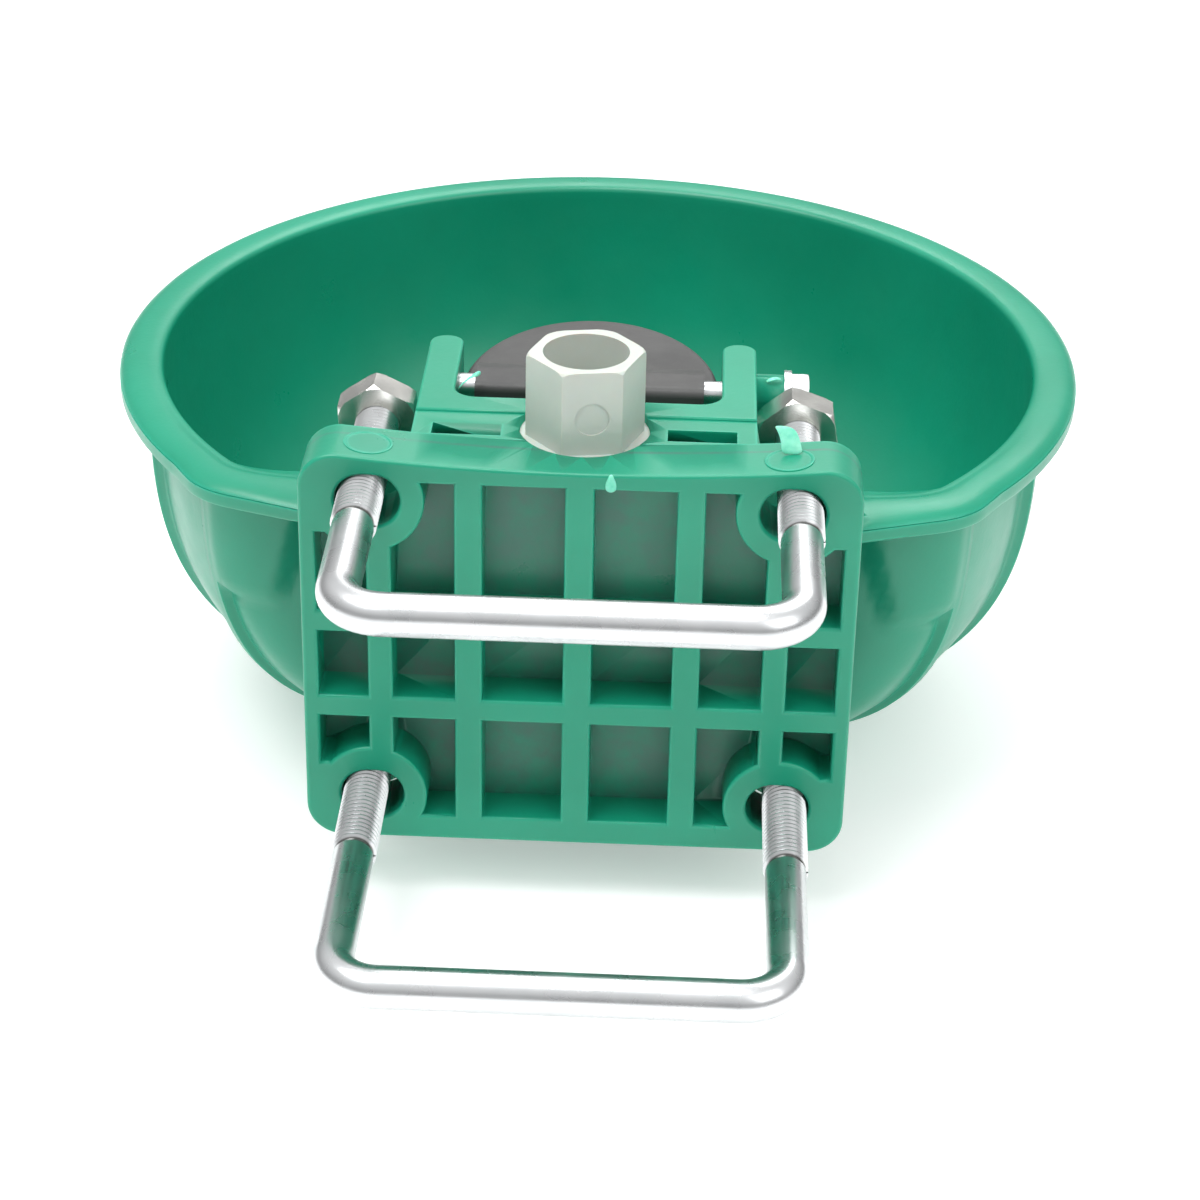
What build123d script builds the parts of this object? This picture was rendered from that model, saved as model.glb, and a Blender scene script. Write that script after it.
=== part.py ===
from build123d import *
import math
import os

os.makedirs("parts", exist_ok=True)

# Frame: origin at the middle of the four slots on the plate's post-side face.
# +X right seen from the post, +Y out over the bowl, +Z up. Millimetres.

# post plate
plate_w = 120.0
plate_low = 48.0
plate_high = 48.3
plate_sag = 3.4
plate_t = 15.0
plate_corner_r = 8.0
edge_r = 0.8
cell_depth = 11.0
cell_edges = [(-56.6, -45.7), (-40.3, -26.7), (-20.7, -3.1), (3.1, 20.7), (26.7, 40.3), (45.7, 56.6)]
row_edges = [(-42.0, -16.8), (-11.5, 4.6), (9.7, 41.2)]
slot_x = 45.2
slot_z = 36.8
slot_len = 14.0
slot_h = 12.0
boss_r = 12.2

# bowl
bowl_y = 105.0
rim_z = 28.0
rim_t = 5.5
rim_corner_r = 6.0
nut_channel_z = 26.0
rim_r = 115.5
wall = 3.0
mouth_r = 105.0
bowl_depth = 84.5
wall_power = 2.8
wall_root = 2.6
back_y = 31.0
rim_corner = (85.5, 24.0)
rim_shoulder = (104.0, 55.0)
rib_t = 4.0
rib_out = 2.4
rib_angles = [-161, -142, -38, -19]
pad_plan = [(65.0, 28.6), (79.0, 28.6), (87.0, 38.0), (80.0, 50.0), (65.0, 50.0)]
pad_low = -4.5
pad_edge_r = 2.0

# hood, hinge arms and valve housing
hood_half = 37.3
arm_t = 7.7
arm_tip_y = 67.5
arm_low = 31.0
arm_top = 45.8
arm_tip_r = 3.6
arm_root_r = 5.0
arm_edge_r = 0.6
web_low = 3.0
hood_top = 45.1
web_y = 28.0
web_front = 35.0
deck_t = 4.5
side_wall_t = 4.0
housing_half = 15.0
housing_low = 11.0
pocket_in = 18.0
pocket_margin = 4.3
pocket_y = (17.0, 22.5)

# hinge
pivot_y = 53.0
pivot_z = 39.7
pin_r = 3.0
pin_run = 0.05
block_gap = 4.0
block_outline = [(-10.0, -5.5), (-10.0, 5.3), (-1.0, 5.3), (5.5, 3.6), (5.5, -5.5)]
block_edge_r = 2.0
standoff_r = 5.0
standoff_len = 6.3
washer_r = 6.0
washer_t = 1.6
hinge_head_af = 10.0
hinge_head_t = 4.0

# paddle
tongue_gap = 0.6
tongue_reach = 38.0
tongue_top = 40.5
tongue_t = 4.0
nose_r = 5.0
nose_half = 6.0

# inlet
inlet_y = 22.6
inlet_af = 22.6
inlet_turn = 9.5
inlet_top = 63.0
flange_r = 14.2
flange_t = 1.0
recess_r = 14.4
recess_depth = 3.0
gasket_t = 0.8
gasket_r = 12.5
inlet_bore_r = 9.32
inlet_bore_len = 14.0
tail_r = 7.4
tail_len = 12.0
water_r = 5.0
strainer_t = 1.0
strainer_r = 7.5
strainer_hole_r = 0.6
strainer_pitch = 2.0

# valve
valve_z = 22.0
cart_r = 8.0
cart_back = 17.0
cart_head_af = 20.0
cart_head_t = 4.0
cart_bore_r = 5.5
cart_mouth_r = 4.5
cart_gasket_t = 1.0
cart_port_r = 3.5
nose_ahead = 1.0
seat_y = 31.0
seat_t = 3.0
seat_hole_r = 3.5
plug_t = 2.5
stem_r = 2.0
tail_rod_r = 1.5
tail_room = 1.8
rod_run = 0.05
poppet_r = 4.8
poppet_t = 3.0
seal_t = 0.8
touch_gap = 0.3
wire_r = 0.5
coil_r = 3.4
coils = 4.0

# U-bolts and nuts, M10
rod_r = 5.0
shank_r = 4.5
leg_x = 46.8
bend_r = 10.0
upper_bar_y = -48.5
lower_bar_y = -71.8
upper_end_y = 46.0
lower_end_y = 28.6
upper_shank = 36.5
lower_shank = 46.5
nut_af = 17.0
nut_t = 8.0
nut_corner_cut = 0.2
upper_nut_y = 36.5
lower_nut_y = 18.0
nut_turns = {"upper_left": 4, "upper_right": 10, "lower_left": 0, "lower_right": 0}

cart_front = web_front + cart_gasket_t
stem_tip = pivot_y + nose_ahead - nose_r - touch_gap
arm_in = hood_half - arm_t
block_half = arm_in - block_gap
tongue_half = arm_in - tongue_gap
pocket_out = hood_half - pocket_margin
recess_z = hood_top - recess_depth
flange_low = recess_z + gasket_t
strainer_z = inlet_top - inlet_bore_len - strainer_t - 0.2
hood_low = -45.0


def save(name, solid):
    solid.label = name
    export_step(solid, f"parts/{name}.step")


def profile_points(radius, depth, top):
    # outline of the bowl's wall from under the rim to the flat bottom
    pts = []
    for t in (0.0, 0.2, 0.4, 0.6, 0.75, 0.87, 0.95):
        r = radius * (1 - t ** wall_power) ** (1 / wall_root)
        pts.append((r, top - depth * t))
    return pts


def wall_outline(radius, depth, top, lift):
    pts = profile_points(radius, depth, top)
    flat_r = pts[-1][0] * 0.72
    with BuildLine() as outline:
        Line((0, top + lift), (radius, top + lift))
        Line((radius, top + lift), pts[0])
        Spline(*pts, (flat_r, top - depth), tangents=[(0, -1), (-1, 0)])
        Line((flat_r, top - depth), (0, top - depth))
        Line((0, top - depth), (0, top + lift))
    return outline.line


under_rim = rim_z - rim_t
outer_line = wall_outline(mouth_r + wall, bowl_depth, under_rim, 1.0)
inner_line = wall_outline(mouth_r, bowl_depth - wall, under_rim, rim_t + 40.0)
rib_line = wall_outline(mouth_r + wall + rib_out, bowl_depth + rib_out / 2, under_rim, 1.0)
axis_plane = Plane(origin=(0, bowl_y, 0), x_dir=(1, 0, 0), z_dir=(0, -1, 0))
bowl_axis = Axis((0, bowl_y, 0), (0, 0, 1))

# solid body under the rim, with its outside ribs, cut flat at the back
with BuildPart() as bowl_body:
    with BuildSketch(axis_plane) as outer_half:
        with BuildLine():
            add(outer_line)
        make_face()
    revolve(axis=bowl_axis)
    for angle in rib_angles:
        a = math.radians(angle)
        side = (math.cos(a), math.sin(a), 0)
        across = (math.sin(a), -math.cos(a), 0)
        with BuildSketch(Plane(origin=(0, bowl_y, 0), x_dir=side, z_dir=across)):
            with BuildLine():
                add(rib_line)
            make_face()
        extrude(amount=rib_t / 2, both=True)
    with BuildSketch(Plane.XY.offset(-120)):
        with Locations((0, back_y - 100)):
            Rectangle(400, 200)
    extrude(amount=240, mode=Mode.SUBTRACT)

with BuildPart() as bowl_hollow:
    with BuildSketch(axis_plane):
        with BuildLine():
            add(inner_line)
        make_face()
    revolve(axis=bowl_axis)
    with BuildSketch(Plane.XY.offset(-120)):
        with Locations((0, back_y + wall - 100)):
            Rectangle(400, 200)
    extrude(amount=240, mode=Mode.SUBTRACT)

# post plate with its lattice and slots
with BuildPart() as post_plate:
    with BuildSketch(Plane.XZ) as outline:
        with BuildLine():
            Line((-plate_w / 2, plate_high), (-plate_w / 2, -plate_low))
            Line((-plate_w / 2, -plate_low), (plate_w / 2, -plate_low))
            Line((plate_w / 2, -plate_low), (plate_w / 2, plate_high))
            ThreePointArc(
                (plate_w / 2, plate_high), (0, plate_high - plate_sag), (-plate_w / 2, plate_high)
            )
        make_face()
        fillet(outline.vertices(), plate_corner_r)
    extrude(amount=-plate_t)
    # lattice cells on the post side, kept clear of the slot bosses
    with BuildSketch(Plane.XZ) as cells:
        for x0, x1 in cell_edges:
            for z0, z1 in row_edges:
                with Locations(((x0 + x1) / 2, (z0 + z1) / 2)):
                    Rectangle(x1 - x0, z1 - z0)
        for sx in (-1, 1):
            for sz in (-1, 1):
                with Locations((sx * slot_x, sz * slot_z)):
                    Circle(boss_r, mode=Mode.SUBTRACT)
                with Locations((sx * (slot_x + 10), sz * (slot_z + 5))):
                    Rectangle(20, 26, mode=Mode.SUBTRACT)
    extrude(amount=-cell_depth, mode=Mode.SUBTRACT)
    with BuildSketch(Plane.XZ):
        for sx in (-1, 1):
            for sz in (-1, 1):
                with Locations((sx * slot_x, sz * slot_z)):
                    SlotOverall(slot_len, slot_h)
    extrude(amount=-plate_t, mode=Mode.SUBTRACT)
    # recess for the inlet flange, and room for the stem's tail
    with BuildSketch(Plane.XY.offset(recess_z)):
        with Locations((0, inlet_y)):
            Circle(recess_r)
    extrude(amount=plate_high, mode=Mode.SUBTRACT)
    with BuildSketch(Plane(origin=(0, plate_t, valve_z), z_dir=(0, -1, 0))):
        Circle(2 * tail_rod_r)
    extrude(amount=tail_room, mode=Mode.SUBTRACT)
    fillet(post_plate.edges().filter_by(lambda e: abs(e.center().Y) < 0.01), edge_r)
save("post_plate", post_plate.part)

# hood: deck, web, side walls, hinge arms and the solid round the valve
with BuildPart() as hood_solid:
    with BuildSketch(Plane.XY.offset(hood_top - deck_t)):
        with Locations((0, (plate_t + web_front) / 2)):
            Rectangle(2 * hood_half, web_front - plate_t)
    extrude(amount=deck_t)
    with BuildSketch(Plane.XY.offset(web_low)):
        with Locations((0, (web_y + web_front) / 2)):
            Rectangle(2 * hood_half, web_front - web_y)
    extrude(amount=hood_top - web_low)
    with BuildSketch(Plane.XY.offset(hood_low)):
        for s in (-1, 1):
            with Locations((s * (hood_half - side_wall_t / 2), (plate_t + back_y) / 2)):
                Rectangle(side_wall_t, back_y - plate_t)
    extrude(amount=hood_top - hood_low)
    with BuildSketch(Plane.XY.offset(housing_low)):
        with Locations((0, (plate_t + web_front) / 2)):
            Rectangle(2 * housing_half, web_front - plate_t)
    extrude(amount=hood_top - housing_low)
    with BuildSketch(Plane.XY.offset(arm_low)) as arms:
        with Locations((0, (web_y + arm_tip_y) / 2)):
            Rectangle(2 * hood_half, arm_tip_y - web_y)
        with Locations((0, (web_front + arm_tip_y) / 2)):
            Rectangle(2 * arm_in, arm_tip_y - web_front, mode=Mode.SUBTRACT)
        fillet(arms.vertices().group_by(Axis.Y)[-1], arm_tip_r)
        fillet(arms.vertices().group_by(Axis.Y)[1], arm_root_r)
    extrude(amount=arm_top - arm_low)
    fillet(hood_solid.edges().group_by(Axis.Z)[-1], arm_edge_r)
    with BuildSketch(Plane(origin=(hood_half - 1, pivot_y, pivot_z), z_dir=(1, 0, 0))):
        Circle(standoff_r)
    extrude(amount=standoff_len + 1)

with BuildPart() as valve_hood:
    add(hood_solid.part)
    # narrow pockets between the plate and the web
    with BuildSketch(Plane.XY.offset(hood_top - deck_t - 1)):
        for s in (-1, 1):
            with Locations((s * (pocket_in + pocket_out) / 2, sum(pocket_y) / 2)):
                Rectangle(pocket_out - pocket_in, pocket_y[1] - pocket_y[0])
    extrude(amount=deck_t + 3, mode=Mode.SUBTRACT)
    # inlet socket, water way and the cartridge bore
    with BuildSketch(Plane.XY.offset(flange_low - tail_len)):
        with Locations((0, inlet_y)):
            Circle(tail_r)
    extrude(amount=tail_len + recess_depth, mode=Mode.SUBTRACT)
    with BuildSketch(Plane.XY.offset(recess_z)):
        with Locations((0, inlet_y)):
            Circle(recess_r)
    extrude(amount=hood_top, mode=Mode.SUBTRACT)
    with BuildSketch(Plane.XY.offset(valve_z)):
        with Locations((0, inlet_y)):
            Circle(water_r)
    extrude(amount=flange_low - tail_len - valve_z, mode=Mode.SUBTRACT)
    with BuildSketch(Plane(origin=(0, web_front, valve_z), z_dir=(0, -1, 0))):
        Circle(cart_r)
    extrude(amount=web_front - cart_back, mode=Mode.SUBTRACT)
    with BuildSketch(Plane(origin=(0, cart_back, valve_z), z_dir=(0, -1, 0))):
        Circle(2 * tail_rod_r)
    extrude(amount=cart_back - plate_t, mode=Mode.SUBTRACT)
    with BuildSketch(Plane(origin=(-60, pivot_y, pivot_z), z_dir=(1, 0, 0))):
        Circle(pin_r)
    extrude(amount=120, mode=Mode.SUBTRACT)
save("valve_hood", valve_hood.part)

# bowl: shell, outside ribs and the rim flange, which is drawn in to the plate at the back
with BuildPart() as bowl_moulding:
    add(bowl_body.part)
    with BuildSketch(Plane.XY.offset(under_rim)) as rim:
        with Locations((0, bowl_y)):
            Circle(rim_r)
        with Locations((0, rim_corner[1] - rim_r)):
            Rectangle(2 * rim_r, 2 * rim_r, mode=Mode.SUBTRACT)
        with BuildLine():
            Polyline(
                (-plate_w / 2, plate_t),
                (plate_w / 2, plate_t),
                rim_corner,
                rim_shoulder,
                (-rim_shoulder[0], rim_shoulder[1]),
                (-rim_corner[0], rim_corner[1]),
                close=True,
            )
        make_face()
        fillet(rim.vertices().filter_by(lambda v: abs(v.X) > 80 and v.Y < 30), rim_corner_r)
        with Locations((0, back_y / 2)):
            Rectangle(2 * hood_half, back_y, mode=Mode.SUBTRACT)
    extrude(amount=rim_t)
    # channels that let the upper nuts run back to the plate
    with BuildSketch(Plane.XY.offset(nut_channel_z)):
        with Locations((0, (plate_t + web_front) / 2)):
            Rectangle(plate_w, web_front - plate_t)
    extrude(amount=rim_t, mode=Mode.SUBTRACT)
    # rounded pads under the rim at the two back corners
    for s in (-1, 1):
        with BuildSketch(Plane.XY.offset(pad_low)) as pad:
            with BuildLine():
                Polyline(*[(s * x, y) for x, y in pad_plan], close=True)
            make_face()
            fillet(pad.vertices().group_by(Axis.Y)[0], pad_edge_r)
        extrude(amount=under_rim - pad_low)
    add(bowl_hollow.part, mode=Mode.SUBTRACT)
    add(hood_solid.part, mode=Mode.SUBTRACT)
save("bowl_moulding", bowl_moulding.part)

# paddle: tongue, hinge block and the nose that presses the stem
with BuildPart() as paddle:
    with BuildSketch(Plane.XY.offset(tongue_top - tongue_t)) as tongue:
        with Locations((0, pivot_y)):
            Ellipse(tongue_half, tongue_reach)
        with Locations((0, pivot_y - tongue_reach / 2)):
            Rectangle(3 * tongue_half, tongue_reach, mode=Mode.SUBTRACT)
    extrude(amount=tongue_t)
    fillet(paddle.edges().group_by(Axis.Z)[-1].filter_by(GeomType.LINE, reverse=True), 1.2)
    with BuildSketch(
        Plane(origin=(-block_half, pivot_y, pivot_z), x_dir=(0, 1, 0), z_dir=(1, 0, 0))
    ) as block_profile:
        with BuildLine():
            Polyline(*block_outline, close=True)
        make_face()
        fillet(block_profile.vertices(), block_edge_r)
    extrude(amount=2 * block_half)
    with BuildSketch(Plane(origin=(-nose_half, pivot_y, pivot_z), x_dir=(0, 1, 0), z_dir=(1, 0, 0))):
        with Locations((nose_ahead, valve_z - pivot_z)):
            Circle(nose_r)
        with Locations((nose_ahead, (valve_z - pivot_z) / 2)):
            Rectangle(2 * nose_r - 2, pivot_z - valve_z)
    extrude(amount=2 * nose_half)
    with BuildSketch(Plane(origin=(-60, pivot_y, pivot_z), z_dir=(1, 0, 0))):
        Circle(pin_r + pin_run)
    extrude(amount=120, mode=Mode.SUBTRACT)
save("paddle", paddle.part)

# hinge screw, screwed through both arms, and its washer
washer_x = hood_half + standoff_len
head_x = washer_x + washer_t
with BuildPart() as hinge_screw:
    with BuildSketch(Plane(origin=(-hood_half, pivot_y, pivot_z), z_dir=(1, 0, 0))):
        Circle(pin_r)
    extrude(amount=head_x + hood_half)
    with BuildSketch(Plane(origin=(head_x, pivot_y, pivot_z), z_dir=(1, 0, 0))):
        RegularPolygon(hinge_head_af / 2, 6, major_radius=False)
    extrude(amount=hinge_head_t)
save("hinge_screw", hinge_screw.part)

with BuildPart() as hinge_washer:
    with BuildSketch(Plane(origin=(washer_x, pivot_y, pivot_z), z_dir=(1, 0, 0))):
        Circle(washer_r)
        Circle(pin_r, mode=Mode.SUBTRACT)
    extrude(amount=washer_t)
save("hinge_washer", hinge_washer.part)

# inlet fitting, its gasket and strainer
with BuildPart() as inlet_fitting:
    with BuildSketch(Plane.XY.offset(flange_low)):
        with Locations((0, inlet_y)):
            Circle(flange_r)
    extrude(amount=flange_t)
    with BuildSketch(Plane.XY.offset(flange_low + flange_t)):
        with Locations((0, inlet_y)):
            RegularPolygon(inlet_af / 2, 6, major_radius=False, rotation=inlet_turn)
    extrude(amount=inlet_top - flange_low - flange_t)
    with BuildSketch(Plane.XY.offset(flange_low - tail_len)):
        with Locations((0, inlet_y)):
            Circle(tail_r)
    extrude(amount=tail_len)
    with BuildSketch(Plane.XY.offset(inlet_top - inlet_bore_len)):
        with Locations((0, inlet_y)):
            Circle(inlet_bore_r)
    extrude(amount=inlet_bore_len, mode=Mode.SUBTRACT)
    with BuildSketch(Plane.XY.offset(strainer_z)):
        with Locations((0, inlet_y)):
            Circle(strainer_r)
    extrude(amount=inlet_top - strainer_z, mode=Mode.SUBTRACT)
    with BuildSketch(Plane.XY.offset(flange_low - tail_len)):
        with Locations((0, inlet_y)):
            Circle(water_r)
    extrude(amount=inlet_top - flange_low + tail_len, mode=Mode.SUBTRACT)
save("inlet_fitting", inlet_fitting.part)

with BuildPart() as inlet_gasket:
    with BuildSketch(Plane.XY.offset(recess_z)):
        with Locations((0, inlet_y)):
            Circle(gasket_r)
            Circle(tail_r, mode=Mode.SUBTRACT)
    extrude(amount=gasket_t)
save("inlet_gasket", inlet_gasket.part)

with BuildPart() as inlet_strainer:
    with BuildSketch(Plane.XY.offset(strainer_z)):
        with Locations((0, inlet_y)):
            Circle(strainer_r)
            with GridLocations(strainer_pitch, strainer_pitch, 4, 4):
                Circle(strainer_hole_r, mode=Mode.SUBTRACT)
    extrude(amount=strainer_t)
save("inlet_strainer", inlet_strainer.part)

# valve cartridge and what it holds, all along +Y at the valve's height
with BuildPart() as valve_cartridge:
    with BuildSketch(Plane(origin=(0, cart_front, valve_z), z_dir=(0, -1, 0))):
        Circle(cart_r)
    extrude(amount=cart_front - cart_back)
    with BuildSketch(Plane(origin=(0, cart_front, valve_z), z_dir=(0, 1, 0))):
        RegularPolygon(cart_head_af / 2, 6, major_radius=False)
    extrude(amount=cart_head_t)
    with BuildSketch(Plane(origin=(0, cart_back, valve_z), z_dir=(0, 1, 0))):
        Circle(cart_bore_r)
    extrude(amount=seat_y + seat_t - cart_back, mode=Mode.SUBTRACT)
    with BuildSketch(Plane(origin=(0, cart_back, valve_z), z_dir=(0, 1, 0))):
        Circle(cart_mouth_r)
    extrude(amount=60, mode=Mode.SUBTRACT)
    with BuildSketch(Plane.XY.offset(valve_z)):
        with Locations((0, inlet_y)):
            Circle(cart_port_r)
    extrude(amount=cart_r + 1, mode=Mode.SUBTRACT)
save("valve_cartridge", valve_cartridge.part)

with BuildPart() as cartridge_gasket:
    with BuildSketch(Plane(origin=(0, web_front, valve_z), z_dir=(0, 1, 0))):
        Circle(cart_head_af / 2)
        Circle(cart_r, mode=Mode.SUBTRACT)
    extrude(amount=cart_gasket_t)
save("cartridge_gasket", cartridge_gasket.part)

with BuildPart() as valve_seat:
    with BuildSketch(Plane(origin=(0, seat_y, valve_z), z_dir=(0, 1, 0))):
        Circle(cart_bore_r)
        Circle(seat_hole_r, mode=Mode.SUBTRACT)
    extrude(amount=seat_t)
save("valve_seat", valve_seat.part)

with BuildPart() as spring_plug:
    with BuildSketch(Plane(origin=(0, cart_back, valve_z), z_dir=(0, 1, 0))):
        Circle(cart_bore_r)
        Circle(tail_rod_r + rod_run, mode=Mode.SUBTRACT)
    extrude(amount=plug_t)
save("spring_plug", spring_plug.part)

poppet_back = seat_y - touch_gap - seal_t - poppet_t
with BuildPart() as valve_stem:
    with BuildSketch(Plane(origin=(0, cart_back + 0.2, valve_z), z_dir=(0, 1, 0))):
        Circle(tail_rod_r)
    extrude(amount=poppet_back - cart_back - 0.2)
    with BuildSketch(Plane(origin=(0, poppet_back, valve_z), z_dir=(0, 1, 0))):
        Circle(poppet_r)
    extrude(amount=poppet_t)
    with BuildSketch(Plane(origin=(0, poppet_back + poppet_t, valve_z), z_dir=(0, 1, 0))):
        Circle(stem_r)
    extrude(amount=stem_tip - poppet_back - poppet_t)
    fillet(valve_stem.edges().group_by(Axis.Y)[-1], 0.8)
save("valve_stem", valve_stem.part)

with BuildPart() as stem_seal:
    with BuildSketch(Plane(origin=(0, poppet_back + poppet_t, valve_z), z_dir=(0, 1, 0))):
        Circle(poppet_r - 0.2)
        Circle(stem_r, mode=Mode.SUBTRACT)
    extrude(amount=seal_t)
save("stem_seal", stem_seal.part)

spring_y = cart_back + plug_t + wire_r
spring_len = poppet_back - touch_gap - wire_r - spring_y
with BuildPart() as return_spring:
    with BuildLine() as coil:
        Helix(
            pitch=spring_len / coils,
            height=spring_len,
            radius=coil_r,
            center=(0, spring_y, valve_z),
            direction=(0, 1, 0),
        )
    with BuildSketch(Plane(origin=coil.line @ 0, z_dir=coil.line % 0)):
        Circle(wire_r)
    sweep(is_frenet=True)
save("return_spring", return_spring.part)

# U-bolts and their nuts
for name, bar_y, end_y, shank, nut_y, z in (
    ("upper", upper_bar_y, upper_end_y, upper_shank, upper_nut_y, slot_z),
    ("lower", lower_bar_y, lower_end_y, lower_shank, lower_nut_y, -slot_z),
):
    thread_y = bar_y + shank
    with BuildPart() as u_bolt:
        with BuildLine(Plane.XY.offset(z)) as path:
            FilletPolyline(
                (-leg_x, thread_y), (-leg_x, bar_y), (leg_x, bar_y), (leg_x, thread_y), radius=bend_r
            )
        with BuildSketch(Plane(origin=(-leg_x, thread_y, z), z_dir=(0, -1, 0))):
            Circle(shank_r)
        sweep(path=path.line)
        for s in (-1, 1):
            with BuildSketch(Plane(origin=(s * leg_x, thread_y, z), z_dir=(0, 1, 0))):
                Circle(rod_r)
            extrude(amount=end_y - thread_y)
        chamfer(u_bolt.edges().group_by(Axis.Y)[-1], 0.9)
    save(f"{name}_u_bolt", u_bolt.part)
    for side, s in (("left", -1), ("right", 1)):
        nut_plane = Plane(origin=(s * leg_x, nut_y, z), x_dir=(1, 0, 0), z_dir=(0, 1, 0))
        with BuildPart() as nut:
            with BuildSketch(nut_plane):
                turn = 30 - nut_turns[f"{name}_{side}"]
                RegularPolygon(nut_af / 2, 6, major_radius=False, rotation=turn)
            extrude(amount=nut_t)
            with BuildSketch(nut_plane, mode=Mode.PRIVATE) as disc:
                Circle(nut_af / math.sqrt(3) - nut_corner_cut)
            extrude(disc.sketch, amount=nut_t, mode=Mode.INTERSECT)
            with BuildSketch(nut_plane):
                Circle(rod_r)
            extrude(amount=nut_t, mode=Mode.SUBTRACT)
        save(f"{name}_nut_{side}", nut.part)
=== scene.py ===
# %% [markdown]
# A livestock drinking bowl in green plastic. A lattice plate clamps to a post with two U-bolts, water comes
# in through an upright hexagon fitting, and a hinged grey paddle works the valve inside.
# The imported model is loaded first. It is the frame: every visible piece goes where it says.

# %% Load the frame
import math

import bpy
from mathutils import Matrix, Vector, noise


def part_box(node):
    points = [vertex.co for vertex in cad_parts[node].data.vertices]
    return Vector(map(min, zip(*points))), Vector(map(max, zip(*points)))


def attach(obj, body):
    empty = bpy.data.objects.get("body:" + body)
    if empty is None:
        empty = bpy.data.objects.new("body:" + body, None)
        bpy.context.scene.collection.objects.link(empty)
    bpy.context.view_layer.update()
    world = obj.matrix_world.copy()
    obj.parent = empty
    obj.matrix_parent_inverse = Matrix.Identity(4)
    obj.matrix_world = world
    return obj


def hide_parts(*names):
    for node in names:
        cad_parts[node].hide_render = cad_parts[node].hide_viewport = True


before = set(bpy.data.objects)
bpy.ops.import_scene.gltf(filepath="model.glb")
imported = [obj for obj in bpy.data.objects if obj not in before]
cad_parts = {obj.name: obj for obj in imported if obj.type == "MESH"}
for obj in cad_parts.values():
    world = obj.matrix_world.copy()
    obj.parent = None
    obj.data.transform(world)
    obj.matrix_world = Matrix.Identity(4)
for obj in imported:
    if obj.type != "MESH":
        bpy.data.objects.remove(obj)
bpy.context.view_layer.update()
MM = 0.001

# %% [markdown]
# Sizes come from the frame, so that nothing has to be fitted by eye. The few that a box can't give, such as
# the wall thickness and the pitch of a thread, are named here once.

# %% Measures shared by several pieces
plate_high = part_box("post_plate")[1]
bowl_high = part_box("bowl_moulding")[1]
bowl_centre_y = 105.0 * MM
rim_top = bowl_high.z
rim_radius = bowl_high.x
rim_depth = 5.5 * MM
under_rim = rim_top - rim_depth
wall = 3.0 * MM
mouth_radius = 105.0 * MM
back_wall_y = 31.0 * MM
bowl_depth = 84.5 * MM
bowl_floor = under_rim - bowl_depth
plate_back_y = plate_high.y
cell_floor_y = 11.0 * MM
leg_from_middle = (46.8 * MM, 36.8 * MM)
thread_low_y, thread_high_y = -26.0 * MM, 27.5 * MM
print("rim radius, mm:", round(rim_radius / MM, 1), "rim top, mm:", round(rim_top / MM, 1))

# %% [markdown]
# Small helpers. An operator works on whatever is selected, so each step starts with nothing selected. A
# finished piece keeps its place in its mesh, with its object at the origin.


# %% Selection and finishing helpers
def only(obj):
    if bpy.context.object and bpy.context.object.mode != "OBJECT":
        bpy.ops.object.mode_set(mode="OBJECT")
    bpy.ops.object.select_all(action="DESELECT")
    obj.select_set(True)
    bpy.context.view_layer.objects.active = obj
    return obj


def apply_all(obj):
    only(obj)
    for modifier in list(obj.modifiers):
        bpy.ops.object.modifier_apply(modifier=modifier.name)
    return obj


def pick_faces(obj, test):
    # leaves the object in edit mode with only the faces that pass the test selected
    only(obj)
    bpy.ops.object.mode_set(mode="EDIT")
    bpy.ops.mesh.select_mode(type="FACE")
    bpy.ops.mesh.select_all(action="DESELECT")
    bpy.ops.object.mode_set(mode="OBJECT")
    for face in obj.data.polygons:
        face.select = test(face)
    bpy.ops.object.mode_set(mode="EDIT")


def rest_in_place(obj):
    only(obj)
    bpy.ops.object.transform_apply(location=True, rotation=True, scale=True)
    return obj


def join(name, pieces):
    bpy.ops.object.select_all(action="DESELECT")
    for piece in pieces:
        piece.select_set(True)
    bpy.context.view_layer.objects.active = pieces[0]
    bpy.ops.object.join()
    pieces[0].name = name
    return pieces[0]


def outward(obj):
    only(obj)
    bpy.ops.object.mode_set(mode="EDIT")
    bpy.ops.mesh.select_all(action="SELECT")
    bpy.ops.mesh.remove_doubles(threshold=0.00001)
    bpy.ops.mesh.normals_make_consistent(inside=False)
    bpy.ops.object.mode_set(mode="OBJECT")
    return obj


def finish(obj, name, material, slot, body, *nodes, angle=35):
    obj.name = name
    rest_in_place(obj)
    bpy.ops.object.shade_smooth_by_angle(angle=math.radians(angle))
    even = obj.modifiers.new("even", "WEIGHTED_NORMAL")
    even.keep_sharp = True
    even.weight = 100
    apply_all(obj)
    obj.data.materials.clear()
    obj.data.materials.append(material)
    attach(obj, body)
    if nodes:
        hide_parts(*nodes)
    print(name, len(obj.data.polygons), "faces")
    return obj


def merged_copy(node):
    # a CAD node's loose triangles, welded into one skin that can be shaded smoothly
    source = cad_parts[node]
    obj = bpy.data.objects.new(node + "_skin", source.data.copy())
    bpy.context.scene.collection.objects.link(obj)
    only(obj)
    bpy.ops.object.mode_set(mode="EDIT")
    bpy.ops.mesh.select_all(action="SELECT")
    bpy.ops.mesh.remove_doubles(threshold=0.000005)
    bpy.ops.object.mode_set(mode="OBJECT")
    return obj


def cylinder(vertices, radius, depth):
    bpy.ops.mesh.primitive_cylinder_add(vertices=vertices, radius=radius, depth=depth, location=(0, 0, 0))
    return bpy.context.object


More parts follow.
